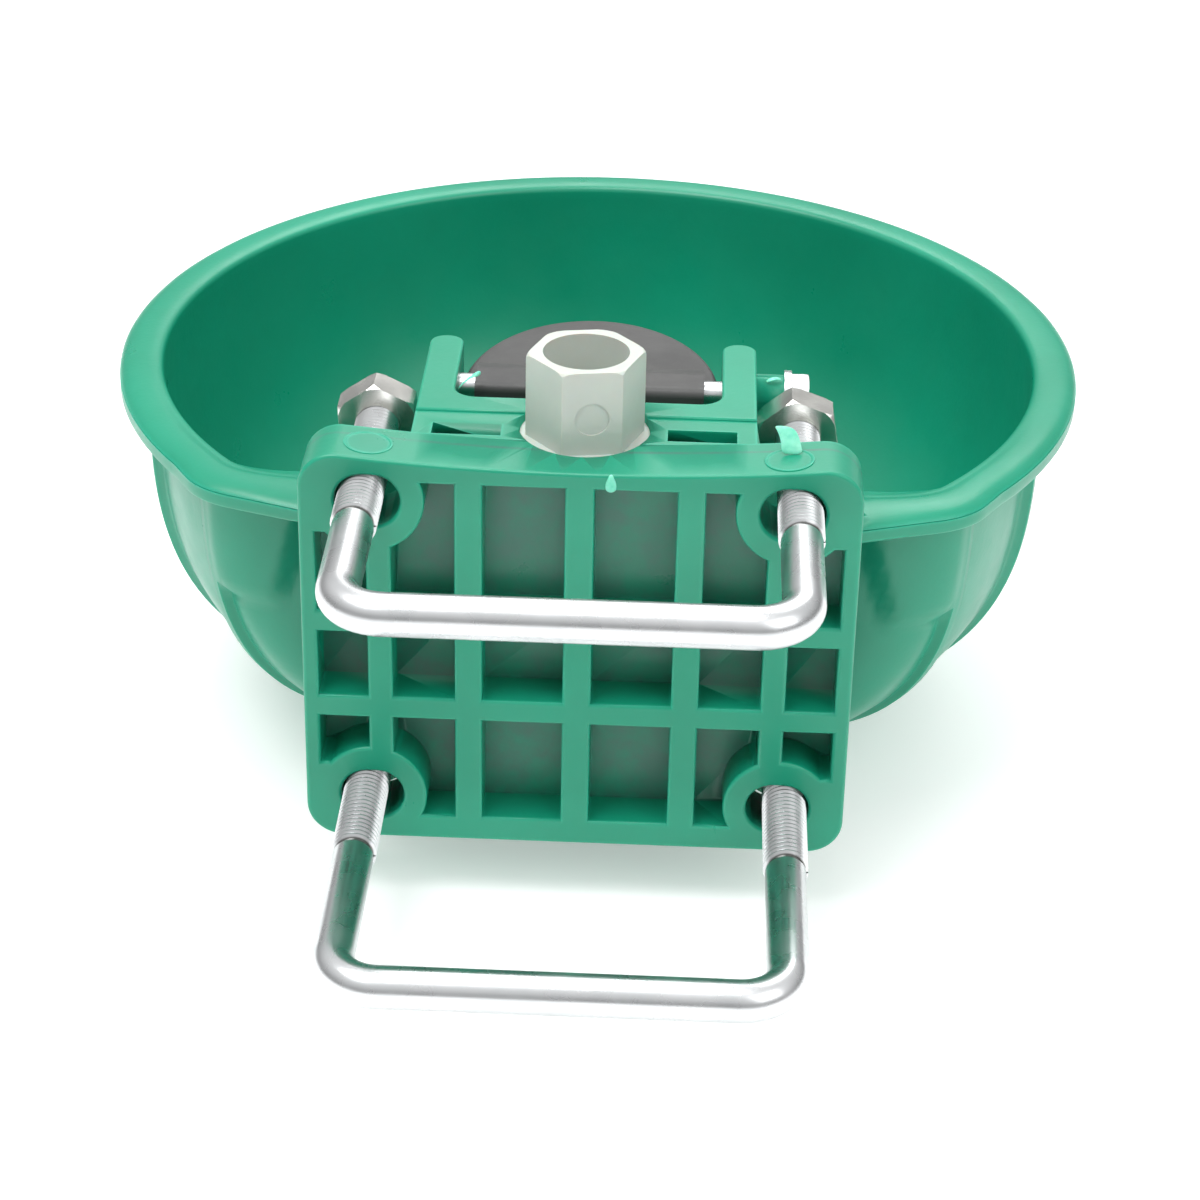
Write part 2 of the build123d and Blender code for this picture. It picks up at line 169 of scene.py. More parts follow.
def boolean(obj, other, operation):
    step = obj.modifiers.new("cut", "BOOLEAN")
    step.operation = operation
    step.object = other
    step.solver = "EXACT"
    apply_all(obj)
    bpy.data.objects.remove(other)
    return obj


def soften(obj, width, segments=2, angle=25):
    edge = obj.modifiers.new("soften", "BEVEL")
    edge.width = width
    edge.segments = segments
    edge.limit_method = "ANGLE"
    edge.angle_limit = math.radians(angle)
    return apply_all(obj)


# %% [markdown]
# Materials. Each finish is a node tree on Object coordinates, so it stays put on the piece. Colour varies
# slowly, roughness varies more, and a fine bump gives moulded plastic and plated steel their skin.


# %% Node helpers
def blank(name):
    material = bpy.data.materials.new(name)
    material.use_nodes = True
    tree = material.node_tree
    shader = tree.nodes["Principled BSDF"]
    place = tree.nodes.new("ShaderNodeTexCoord")
    return material, tree, shader, place.outputs["Object"]


def noise_on(tree, vector, scale, detail=4.0, roughness=0.55):
    node = tree.nodes.new("ShaderNodeTexNoise")
    node.inputs["Scale"].default_value = scale
    node.inputs["Detail"].default_value = detail
    node.inputs["Roughness"].default_value = roughness
    tree.links.new(vector, node.inputs["Vector"])
    return node.outputs["Fac"]


def ramp(tree, value, stops):
    node = tree.nodes.new("ShaderNodeValToRGB")
    elements = node.color_ramp.elements
    while len(elements) < len(stops):
        elements.new(0.5)
    for element, (at, colour) in zip(elements, stops):
        element.position = at
        element.color = (*colour, 1) if len(colour) == 3 else colour
    tree.links.new(value, node.inputs["Fac"])
    return node.outputs["Color"]


def spread(tree, value, low, high):
    node = tree.nodes.new("ShaderNodeMapRange")
    node.inputs["From Min"].default_value = 0.3
    node.inputs["From Max"].default_value = 0.7
    node.inputs["To Min"].default_value = low
    node.inputs["To Max"].default_value = high
    tree.links.new(value, node.inputs["Value"])
    return node.outputs["Result"]


def bump_from(tree, shader, heights, distance, strength):
    last = None
    for height in heights:
        node = tree.nodes.new("ShaderNodeBump")
        node.inputs["Distance"].default_value = distance
        node.inputs["Strength"].default_value = strength
        tree.links.new(height, node.inputs["Height"])
        if last:
            tree.links.new(last, node.inputs["Normal"])
        last = node.outputs["Normal"]
    tree.links.new(last, shader.inputs["Normal"])


def stretched(tree, vector, scale):
    node = tree.nodes.new("ShaderNodeMapping")
    node.inputs["Scale"].default_value = scale
    tree.links.new(vector, node.inputs["Vector"])
    return node.outputs["Vector"]


def painted_edge_highlight(tree, colour, highlight_colour, radius, most):
    # painted highlight: the rounded edges of a moulding are given a paler colour than the faces, standing in
    # for the light that catches them
    geometry = tree.nodes.new("ShaderNodeNewGeometry")
    rounded = tree.nodes.new("ShaderNodeBevel")
    rounded.samples = 4
    rounded.inputs["Radius"].default_value = radius
    turn = tree.nodes.new("ShaderNodeVectorMath")
    turn.operation = "DOT_PRODUCT"
    tree.links.new(rounded.outputs["Normal"], turn.inputs[0])
    tree.links.new(geometry.outputs["Normal"], turn.inputs[1])
    mask = tree.nodes.new("ShaderNodeMapRange")
    mask.inputs["From Min"].default_value = 0.995
    mask.inputs["From Max"].default_value = 0.86
    mask.inputs["To Max"].default_value = most
    tree.links.new(turn.outputs["Value"], mask.inputs["Value"])
    mix = tree.nodes.new("ShaderNodeMix")
    mix.data_type = "RGBA"
    tree.links.new(mask.outputs["Result"], mix.inputs["Factor"])
    tree.links.new(colour, mix.inputs[6])
    mix.inputs[7].default_value = (*highlight_colour, 1)
    return mix.outputs[2]


# %% Green polypropylene
def make_green(name, dust_at=None):
    material, tree, shader, vector = blank(name)
    cloudy = noise_on(tree, vector, 14.0, 5.0)
    colour = ramp(tree, cloudy, [(0.3, (0.003, 0.235, 0.135)), (0.7, (0.005, 0.290, 0.172))])
    # painted highlight: rounded edges get a paler green
    with_painted_highlight = painted_edge_highlight(tree, colour, (0.03, 0.50, 0.33), 0.0011, 0.5)
    if dust_at:
        # grey-green dust and water marks lie on the floors of the plate's cells
        apart = tree.nodes.new("ShaderNodeSeparateXYZ")
        tree.links.new(vector, apart.inputs["Vector"])
        floor_mask = tree.nodes.new("ShaderNodeMath")
        floor_mask.operation = "COMPARE"
        floor_mask.inputs[1].default_value = dust_at
        floor_mask.inputs[2].default_value = 0.5 * MM
        tree.links.new(apart.outputs["Y"], floor_mask.inputs[0])
        spots = noise_on(tree, vector, 130.0, 7.0, 0.65)
        blots = ramp(tree, spots, [(0.38, (0.35, 0.35, 0.35)), (0.62, (1, 1, 1))])
        both = tree.nodes.new("ShaderNodeMath")
        both.operation = "MULTIPLY"
        tree.links.new(floor_mask.outputs["Value"], both.inputs[0])
        tree.links.new(blots, both.inputs[1])
        dusty = tree.nodes.new("ShaderNodeMix")
        dusty.data_type = "RGBA"
        tree.links.new(both.outputs["Value"], dusty.inputs["Factor"])
        tree.links.new(with_painted_highlight, dusty.inputs[6])
        dusty.inputs[7].default_value = (0.045, 0.190, 0.140, 1)
        with_painted_highlight = dusty.outputs[2]
    tree.links.new(with_painted_highlight, shader.inputs["Base Color"])
    tree.links.new(spread(tree, noise_on(tree, vector, 60.0, 6.0), 0.27, 0.42), shader.inputs["Roughness"])
    grain = noise_on(tree, vector, 900.0, 3.0)
    waves = noise_on(tree, stretched(tree, vector, (1.0, 1.0, 2.5)), 35.0, 2.0)
    bump_from(tree, shader, [grain, waves], 0.0001, 0.3)
    shader.inputs["Subsurface Weight"].default_value = 0.15
    shader.inputs["Subsurface Radius"].default_value = (0.2, 1.0, 0.6)
    shader.inputs["Subsurface Scale"].default_value = 0.003
    shader.inputs["IOR"].default_value = 1.5
    return material


def make_stressed():
    # plastic that was bent or scraped turns pale
    material, tree, shader, vector = blank("stress_whitened_green")
    whitening = noise_on(tree, vector, 400.0, 4.0)
    colour = ramp(tree, whitening, [(0.3, (0.10, 0.58, 0.40)), (0.7, (0.28, 0.78, 0.60))])
    tree.links.new(colour, shader.inputs["Base Color"])
    tree.links.new(spread(tree, noise_on(tree, vector, 300.0, 3.0), 0.3, 0.5), shader.inputs["Roughness"])
    bump_from(tree, shader, [noise_on(tree, vector, 900.0, 3.0)], 0.0001, 0.4)
    shader.inputs["Subsurface Weight"].default_value = 0.3
    shader.inputs["Subsurface Scale"].default_value = 0.002
    return material


# %% Dark grey, off-white and rubber
def make_plain_plastic(name, dark, light, rough, subsurface, speck=700.0):
    material, tree, shader, vector = blank(name)
    colour = ramp(tree, noise_on(tree, vector, 40.0, 6.0), [(0.3, dark), (0.7, light)])
    tree.links.new(colour, shader.inputs["Base Color"])
    tree.links.new(spread(tree, noise_on(tree, vector, 120.0, 5.0), *rough), shader.inputs["Roughness"])
    bump_from(tree, shader, [noise_on(tree, vector, speck, 4.0)], 0.0001, 0.4)
    shader.inputs["Subsurface Weight"].default_value = subsurface
    shader.inputs["Subsurface Scale"].default_value = 0.002
    return material


# %% Zinc plate and brass
def calc(tree, operation, first, second=None):
    node = tree.nodes.new("ShaderNodeMath")
    node.operation = operation
    tree.links.new(first, node.inputs[0])
    if isinstance(second, float):
        node.inputs[1].default_value = second
    elif second:
        tree.links.new(second, node.inputs[1])
    return node.outputs["Value"]


def painted_root_shade(tree, vector, colour, leg_x, leg_z):
    # painted shade: the roots of the threads on the U-bolts' legs are darkened in the colour, standing in for
    # the shade in the grooves
    apart = tree.nodes.new("ShaderNodeSeparateXYZ")
    tree.links.new(vector, apart.inputs["Vector"])
    x, y, z = (apart.outputs[axis] for axis in "XYZ")
    dx = calc(tree, "SUBTRACT", calc(tree, "ABSOLUTE", x), leg_x)
    dz = calc(tree, "SUBTRACT", calc(tree, "ABSOLUTE", z), leg_z)
    square = calc(tree, "ADD", calc(tree, "MULTIPLY", dx, dx), calc(tree, "MULTIPLY", dz, dz))
    shade_amount = tree.nodes.new("ShaderNodeMapRange")
    shade_amount.inputs["From Min"].default_value = 4.47 * MM
    shade_amount.inputs["From Max"].default_value = 4.2 * MM
    shade_amount.inputs["To Max"].default_value = 0.85
    tree.links.new(calc(tree, "SQRT", square), shade_amount.inputs["Value"])
    above = calc(tree, "GREATER_THAN", y, thread_low_y)
    threaded = calc(tree, "MULTIPLY", above, calc(tree, "LESS_THAN", y, thread_high_y))
    mix = tree.nodes.new("ShaderNodeMix")
    mix.data_type = "RGBA"
    tree.links.new(calc(tree, "MULTIPLY", threaded, shade_amount.outputs["Result"]), mix.inputs["Factor"])
    tree.links.new(colour, mix.inputs[6])
    mix.inputs[7].default_value = (0.10, 0.10, 0.09, 1)
    return mix.outputs[2]


def make_metal(name, dark, light, rough, scratch_scale=(1.0, 1.0, 1.0), legs=None):
    material, tree, shader, vector = blank(name)
    patches = noise_on(tree, vector, 90.0, 2.0, 0.5)
    colour = ramp(tree, patches, [(0.3, dark), (0.7, light)])
    if legs:
        # painted shade in the thread roots of the legs
        colour = painted_root_shade(tree, vector, colour, *legs)
    tree.links.new(colour, shader.inputs["Base Color"])
    tree.links.new(spread(tree, noise_on(tree, vector, 150.0, 2.0), *rough), shader.inputs["Roughness"])
    fine = noise_on(tree, stretched(tree, vector, scratch_scale), 1500.0, 3.0)
    bump_from(tree, shader, [fine, noise_on(tree, vector, 120.0, 2.0)], 0.00001, 0.12)
    shader.inputs["Metallic"].default_value = 1.0
    return material


GREEN = make_green("green_polypropylene")
PLATE_GREEN = make_green("green_polypropylene_dusty", cell_floor_y)
STRESSED = make_stressed()
GREY = make_plain_plastic("grey_plastic", (0.040, 0.041, 0.041), (0.060, 0.060, 0.058), (0.38, 0.55), 0.0)
WHITE = make_plain_plastic("white_nylon", (0.46, 0.50, 0.455), (0.54, 0.58, 0.53), (0.36, 0.50), 0.2)
RUBBER = make_plain_plastic("black_rubber", (0.012, 0.012, 0.012), (0.03, 0.03, 0.03), (0.6, 0.8), 0.0)
ZINC = make_metal(
    "bright_zinc", (0.64, 0.66, 0.67), (0.70, 0.71, 0.72), (0.25, 0.31), legs=leg_from_middle
)
NUT_ZINC = make_metal("yellow_zinc", (0.74, 0.74, 0.70), (0.84, 0.83, 0.79), (0.16, 0.28))
BRASS = make_metal("turned_brass", (0.62, 0.45, 0.18), (0.78, 0.60, 0.28), (0.2, 0.4), (1.0, 0.05, 1.0))
STAINLESS = make_metal("stainless", (0.55, 0.54, 0.52), (0.72, 0.72, 0.70), (0.2, 0.36))
print("materials:", len(bpy.data.materials))

# %% [markdown]
# The bowl is a revolved shell whose back is flattened. A lathe profile is spun about the bowl's centre, and
# then each vertex slides in or out along its own ray: the back is cut off by the back wall, the rim's outline
# is drawn out into two shoulders beside the plate, and ribs and pads are pushed out of the outer wall.


# %% Lathe profile of the bowl
def wall_radius(outer, depth, z, top):
    t = min(max((top - z) / depth, 0.0), 1.0)
    return outer * (1 - t ** 2.8) ** (1 / 2.6)


def lathe_points():
    inside, outside = [], []
    inner_depth = bowl_depth - wall
    for i in range(44):
        t = math.sin(math.pi / 2 * i / 44)
        z_in, z_out = under_rim - inner_depth * t, under_rim - bowl_depth * t
        inside.append((wall_radius(mouth_radius, inner_depth, z_in, under_rim), z_in))
        outside.append((wall_radius(mouth_radius + wall, bowl_depth, z_out, under_rim), z_out))
    floor_in = [(f * inside[-1][0], under_rim - inner_depth) for f in (0.85, 0.6, 0.3)]
    floor_out = [(f * outside[-1][0], bowl_floor) for f in (0.85, 0.6, 0.3)]
    width = rim_radius - mouth_radius
    lip = [(mouth_radius, under_rim + 1.6 * MM), (mouth_radius, rim_top - 1.9 * MM)]
    for t, drop in (
        (0.02, 1.1), (0.07, 0.55), (0.14, 0.28), (0.22, 0.12), (0.30, 0.03), (0.38, 0), (0.46, 0),
        (0.54, 0.02), (0.62, 0.08), (0.70, 0.2), (0.78, 0.42), (0.85, 0.72), (0.91, 1.1),
        (0.955, 1.5), (0.985, 1.95),
    ):
        lip.append((mouth_radius + width * t, rim_top - drop * MM))
    # a fine groove along the mould's parting line, then the upright skirt
    for inset, drop in (
        (0.5, 2.05), (0.45, 2.25), (0.05, 2.35), (0, 2.8), (0, 3.9), (0, 4.9), (0.25, 5.35), (0.8, 5.5),
        (1.9, 5.5), (2.3, 5.2), (2.4, 4.5), (6.5, 4.5),
    ):
        lip.append((rim_radius - inset * MM, rim_top - drop * MM))
    lip.append((mouth_radius + wall + 0.3 * MM, under_rim + 0.4 * MM))
    return floor_in[::-1] + inside[::-1] + lip + outside + floor_out


# %% Spin it, then shape the back
def soft_min(a, b, blend):
    h = max(blend - abs(a - b), 0.0) / blend
    return min(a, b) - h * h * blend / 4


def back_limit(sin_a, y):
    return (bowl_centre_y - y) / max(-sin_a, 0.02)


def bump(x, centre, half, edge):
    # one inside half, falling to nought over edge
    d = (abs(x - centre) - half) / edge
    return 1.0 if d <= 0 else 0.0 if d >= 1 else 0.5 + 0.5 * math.cos(math.pi * d)


rim_corner = (85.5 * MM, 24.0 * MM)
rim_shoulder = (104.0 * MM, 55.0 * MM)


def line_reach(start, end, cos_a, sin_a):
    # how far from the bowl's centre a ray meets the line through two points of the rim's outline
    ax, ay = start[0], start[1] - bowl_centre_y
    bx, by = end[0] - start[0], end[1] - start[1]
    return (ax * by - ay * bx) / (cos_a * by - sin_a * bx)


def rim_reach(cos_a, sin_a, from_back):
    corner_angle = math.degrees(math.atan2(rim_corner[0], bowl_centre_y - rim_corner[1]))
    shoulder_angle = math.degrees(math.atan2(rim_shoulder[0], bowl_centre_y - rim_shoulder[1]))
    if from_back > shoulder_angle:
        return rim_radius
    if from_back > corner_angle + 6:
        return max(rim_radius, line_reach(rim_corner, rim_shoulder, cos_a, sin_a))
    shoulder = max(rim_radius, line_reach(rim_corner, rim_shoulder, cos_a, sin_a))
    back = line_reach((plate_high.x, plate_back_y), rim_corner, cos_a, sin_a)
    return min(soft_min(shoulder, back, 5 * MM), back_limit(sin_a, plate_back_y + 0.02 * MM))


def shape_bowl(obj):
    inner_depth = bowl_depth - wall
    for v in obj.data.vertices:
        dx, dy = v.co.x, v.co.y - bowl_centre_y
        r = math.hypot(dx, dy)
        if r < 1e-6:
            continue
        z = v.co.z
        cos_a, sin_a = dx / r, dy / r
        from_back = math.degrees(math.atan2(abs(dx), -dy))
        at_back = 1 - min(max((from_back - 50) / 25, 0), 1)
        flange = r > mouth_radius + 0.1 * MM and z > under_rim + 0.45 * MM
        lower_lip = r > mouth_radius + wall + 0.6 * MM and z > under_rim - 0.3 * MM
        if flange or lower_lip:
            reach = (r - mouth_radius) / (rim_radius - mouth_radius)
            outline = rim_reach(abs(cos_a), sin_a, from_back)
            inner = soft_min(mouth_radius, back_limit(sin_a, back_wall_y), 9 * MM)
            new = inner + reach * (outline - inner)
            if z > rim_top - 2 * MM:
                # beside the plate a shallow valley runs between the mouth's edge and the rolled lip
                v.co.z -= at_back * 0.55 * MM * math.exp(-(((reach - 0.18) / 0.10) ** 2))
                v.co.z -= at_back * 0.5 * MM * max(reach - 0.6, 0)
        elif r > wall_radius(mouth_radius, inner_depth, max(z, bowl_floor + wall), under_rim) + 1.0 * MM or (
            z < bowl_floor + 0.5 * MM
        ):
            new = soft_min(r, back_limit(sin_a, back_wall_y), 9 * MM)
            rib = max(bump(from_back, 52, 1.0, 0.5), bump(from_back, 71, 0.9, 0.5))
            new += 2.2 * MM * rib * min(max((r - 30 * MM) / (8 * MM), 0), 1)
            inner_edge = 41.8 - (z - 8 * MM) * 125
            pad = bump(from_back, (51.2 + inner_edge) / 2, (51.2 - inner_edge) / 2, 1.0)
            new += 2.5 * MM * pad * bump(z, 13 * MM, 16.5 * MM, 2.5 * MM) * (1 - rib)
        else:
            new = soft_min(r, back_limit(sin_a, back_wall_y + wall), 9 * MM)
        v.co.x = new * cos_a
        v.co.y = bowl_centre_y + new * sin_a
        if flange and abs(v.co.x) < 60 * MM and v.co.y < 35 * MM:
            # a channel beside the plate lets the upper nuts run back
            v.co.z = min(v.co.z, 25.8 * MM)
        if flange and r > rim_radius - 1.2 * MM:
            v.co.z += 0.12 * MM * noise.noise(Vector((dx * 40, dy * 40, 3.0)))


def make_bowl():
    points = lathe_points()
    bpy.ops.mesh.primitive_plane_add(size=1 * MM, location=(0, bowl_centre_y, 0))
    obj = bpy.context.object
    mesh = obj.data
    bpy.ops.object.transform_apply(location=True)
    mesh.clear_geometry()
    mesh.from_pydata(
        [(r, bowl_centre_y, z) for r, z in points], [(i, i + 1) for i in range(len(points) - 1)], []
    )
    only(obj)
    bpy.ops.object.mode_set(mode="EDIT")
    bpy.ops.mesh.select_mode(type="VERT")
    bpy.ops.mesh.select_all(action="SELECT")
    bpy.ops.mesh.spin(
        steps=480, angle=math.tau, center=(0, bowl_centre_y, 0), axis=(0, 0, 1), dupli=False
    )
    bpy.ops.mesh.select_all(action="SELECT")
    bpy.ops.mesh.remove_doubles(threshold=0.00001)
    bpy.ops.mesh.select_all(action="DESELECT")
    bpy.ops.mesh.select_non_manifold()
    bpy.ops.mesh.edge_face_add()
    bpy.ops.object.mode_set(mode="OBJECT")
    shape_bowl(obj)
    return outward(obj)


finish(make_bowl(), "bowl_shell", GREEN, "green_plastic", "bowl", "bowl_moulding", angle=40)

# %% [markdown]
# The post plate and the hood are parts of the same moulding. The frame already has their exact shape, with
# every rounded edge, so each piece is the frame's own skin, welded and shaded smoothly.

# %% Plate, hood and paddle
for node, name, material, slot, body in (
    ("post_plate", "post_plate_moulded", PLATE_GREEN, "green_plastic", "bowl"),
    ("valve_hood", "valve_hood_moulded", GREEN, "green_plastic", "bowl"),
    ("paddle", "paddle_moulded", GREY, "dark_plastic", "paddle"),
):
    finish(merged_copy(node), name, material, slot, body, node, angle=32)

# %% [markdown]
# Pins that push a moulding out of its mould leave round witness marks. Two stand on the plate's top edge.


# %% Ejector marks and the gate scar
def top_edge(x):
    # the plate's top edge sags in the middle
    return 44.9 * MM + 3.4 * MM * (x / plate_high.x) ** 2


def round_mark(name, x, y, radius, height):
    bpy.ops.mesh.primitive_cylinder_add(
        vertices=64, radius=radius, depth=height, location=(x, y, top_edge(x))
    )
    mark = rest_in_place(bpy.context.object)
    pick_faces(mark, lambda face: face.normal.z > 0.9)
    bpy.ops.mesh.inset(thickness=0.45 * MM, depth=0)
    bpy.ops.mesh.inset(thickness=0.25 * MM, depth=-0.16 * MM)
    bpy.ops.object.mode_set(mode="OBJECT")
    for v in mark.data.vertices:
        v.co.z += top_edge(v.co.x) - top_edge(x)
    soften(mark, 0.08 * MM)
    return finish(mark, name, GREEN, "green_plastic", "bowl")


round_mark("ejector_mark_left", -45.5 * MM, 7.6 * MM, 5.3 * MM, 0.36 * MM)
round_mark("ejector_mark_right", 44.0 * MM, 6.4 * MM, 5.3 * MM, 0.5 * MM)

bpy.ops.mesh.primitive_uv_sphere_add(segments=32, ring_count=20, radius=1.0 * MM, location=(0, 0, 0))
scar = bpy.context.object
for v in scar.data.vertices:
    taper = 1.0 - 0.35 * v.co.z / (1.0 * MM)
    v.co = Vector((v.co.x * 1.2 * taper, v.co.y * 0.55, v.co.z * 2.1))
scar.data.transform(Matrix.Translation((6.5 * MM, 0.2 * MM, 42.9 * MM)))
finish(scar, "gate_scar", STRESSED, "green_plastic", "bowl")

# %% [markdown]
# Thin flash is left where two halves of a mould met and was partly torn off. A sliver is a narrow strip led
# through a few points and given a thickness.


# %% Slivers of flash
def sliver(name, points, widths, thickness=0.3 * MM, across=(1, 0, 0)):
    bpy.ops.mesh.primitive_plane_add(size=1 * MM, location=(0, 0, 0))
    strip = bpy.context.object
    side = Vector(across).normalized()
    start = Vector(points[0]) * MM
    for v, at in zip(strip.data.vertices, ((-1, 0), (1, 0), (-1, 1), (1, 1))):
        row = Vector(points[at[1]]) * MM
        v.co = row + side * at[0] * widths[at[1]] * MM / 2
    last = 1
    for i in range(2, len(points)):
        only(strip)
        for e in strip.data.edges:
            e.select = False
        for v in strip.data.vertices:
            v.select = False
        for f in strip.data.polygons:
            f.select = False
        ends = [v.index for v in strip.data.vertices][-2:]
        for e in strip.data.edges:
            e.select = sorted(e.vertices) == sorted(ends)
        bpy.ops.object.mode_set(mode="EDIT")
        bpy.ops.mesh.select_mode(type="EDGE")
        step = (Vector(points[i]) - Vector(points[last])) * MM
        bpy.ops.mesh.extrude_region_move(TRANSFORM_OT_translate={"value": step})
        bpy.ops.mesh.select_all(action="DESELECT")
        bpy.ops.object.mode_set(mode="OBJECT")
        middle = Vector(points[i]) * MM
        for v in list(strip.data.vertices)[-2:]:
            reach = (v.co - middle).dot(side)
            v.co = middle + side * math.copysign(widths[i] * MM / 2, reach)
        last = i
    thick = strip.modifiers.new("thick", "SOLIDIFY")
    thick.thickness = thickness
    round_off = strip.modifiers.new("smooth", "SUBSURF")
    round_off.levels = round_off.render_levels = 2
    apply_all(strip)
    return finish(outward(strip), name, STRESSED, "green_plastic", "bowl")


sliver(
    "flash_curl_left",
    [(-29.0, 42.0, 43.8), (-28.2, 41.2, 45.6), (-26.6, 41.0, 47.0), (-25.0, 41.4, 48.3), (-24.2, 42.4, 47.6)],
    [1.0, 1.6, 1.1, 2.6, 1.4], across=(0.3, 1, 0.4),
)
sliver(
    "flash_tab_right",
    [(44.6, 8.6, 46.9), (44.4, 9.2, 48.2), (44.0, 10.2, 50.0), (43.2, 11.4, 51.6), (41.8, 12.2, 52.2)],
    [4.6, 4.8, 4.4, 4.6, 3.2], thickness=0.45 * MM,
)
sliver(
    "flash_wisp_standoff",
    [(39.5, 50.5, 44.4), (40.6, 50.2, 45.2), (41.8, 50.4, 45.4), (42.8, 50.8, 44.9)],
    [0.9, 1.2, 1.0, 0.6], across=(0, 1, 0.4),
)

# %% [markdown]
# The inlet is a hexagon prism. A cone turned off its top corners, a wide bore for the hose thread and a
# narrower water way are cut from it in turn, and a thin flange seals it on the hood.

# %% Inlet fitting
inlet_low, inlet_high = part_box("inlet_fitting")
inlet_x, inlet_y = (inlet_low.x + inlet_high.x) / 2, (inlet_low.y + inlet_high.y) / 2
flange_radius = (inlet_high.x - inlet_low.x) / 2
inlet_flats = 22.6 * MM
flange_base = inlet_low.z + 12.0 * MM


def upright(vertices, radius, z0, z1):
    bpy.ops.mesh.primitive_cylinder_add(
        vertices=vertices, radius=radius, depth=z1 - z0, location=(inlet_x, inlet_y, (z0 + z1) / 2)
    )
    return rest_in_place(bpy.context.object)


def make_inlet():
    hexagon = upright(6, inlet_flats / math.sqrt(3), flange_base + 0.4 * MM, inlet_high.z)
    about = Matrix.Translation((inlet_x, inlet_y, 0))
    hexagon.data.transform(about @ Matrix.Rotation(math.radians(9.5 + 30), 4, "Z") @ about.inverted())
    turned = upright(96, inlet_flats / math.sqrt(3) - 0.05 * MM, flange_base + 0.4 * MM, inlet_high.z)
    pick_faces(turned, lambda face: face.normal.z > 0.9)
    bpy.ops.mesh.bevel(offset=1.15 * MM, segments=3, affect="EDGES")
    bpy.ops.object.mode_set(mode="OBJECT")
    boolean(hexagon, turned, "INTERSECT")
    boolean(hexagon, upright(96, 9.32 * MM, inlet_high.z - 14 * MM, inlet_high.z + 2 * MM), "DIFFERENCE")
    boolean(hexagon, upright(64, 7.5 * MM, inlet_high.z - 15.2 * MM, inlet_high.z - 12 * MM), "DIFFERENCE")
    boolean(hexagon, upright(48, 5.0 * MM, flange_base - 2 * MM, inlet_high.z), "DIFFERENCE")
    pin = cylinder(48, 3.7 * MM, 2 * MM)
    face_turn = math.radians(9.5 - 90)
    out = Vector((math.cos(face_turn), math.sin(face_turn), 0))
    centre = Vector((inlet_x, inlet_y, 52.2 * MM)) + out * (inlet_flats / 2 + 1 * MM - 0.32 * MM)
    pin.data.transform(Matrix.Translation(centre) @ out.to_track_quat("Z", "Y").to_matrix().to_4x4())
    boolean(hexagon, pin, "DIFFERENCE")
    soften(hexagon, 0.35 * MM, 3)
    flange = upright(96, flange_radius, flange_base, flange_base + 1.0 * MM)
    boolean(flange, upright(48, 5.0 * MM, flange_base - 2 * MM, inlet_high.z), "DIFFERENCE")
    soften(flange, 0.3 * MM, 2)
    tail = upright(64, 7.4 * MM, inlet_low.z, flange_base + 0.3 * MM)
    boolean(tail, upright(48, 5.0 * MM, inlet_low.z - 2 * MM, inlet_high.z), "DIFFERENCE")
    return join("inlet", [hexagon, flange, tail])


finish(make_inlet(), "inlet_hexagon", WHITE, "white_plastic", "bowl", "inlet_fitting", angle=30)

# %% [markdown]
# Threads. A thread is one tooth carried round and along the rod. The Screw modifier does just that: it turns
# a small zigzag edge about an axis while moving it on by the pitch.


# %% Thread by screw
def thread_surface(x, z, y_start, length, pitch, root, crest, steps=28):
    bpy.ops.mesh.primitive_plane_add(size=1 * MM, location=(0, 0, 0))
    obj = bpy.context.object
    mesh = obj.data
    mesh.clear_geometry()
    tooth = [(0.0, root), (0.10, root), (0.44, crest), (0.56, crest), (0.90, root), (1.0, root)]
    mesh.from_pydata(
        [(radius, 0, along * pitch) for along, radius in tooth], [(i, i + 1) for i in range(5)], []
    )
    turn = obj.modifiers.new("turn", "SCREW")
    turn.axis = "Z"
    turn.angle = math.tau
    turn.screw_offset = pitch
    turn.iterations = int(length / pitch) - 1
    turn.steps = steps
    turn.render_steps = steps
    turn.use_merge_vertices = True
    turn.merge_threshold = 0.000005
    apply_all(obj)
    obj.data.transform(Matrix.Translation((x, y_start, z)) @ Matrix.Rotation(-math.pi / 2, 4, "X"))
    return outward(obj)


# %% U-bolt by extruding and spinning a round section
thread_start = {"upper": -12.0 * MM, "lower": -25.3 * MM}
rod_pitch = 1.5 * MM
shank_radius = 4.5 * MM
bend_radius = 10.0 * MM


def draw_out(by, times):
    # carries the selected section on by a distance, in equal steps
    for _ in range(times):
        bpy.ops.mesh.extrude_region_move(TRANSFORM_OT_translate={"value": Vector(by) / times})


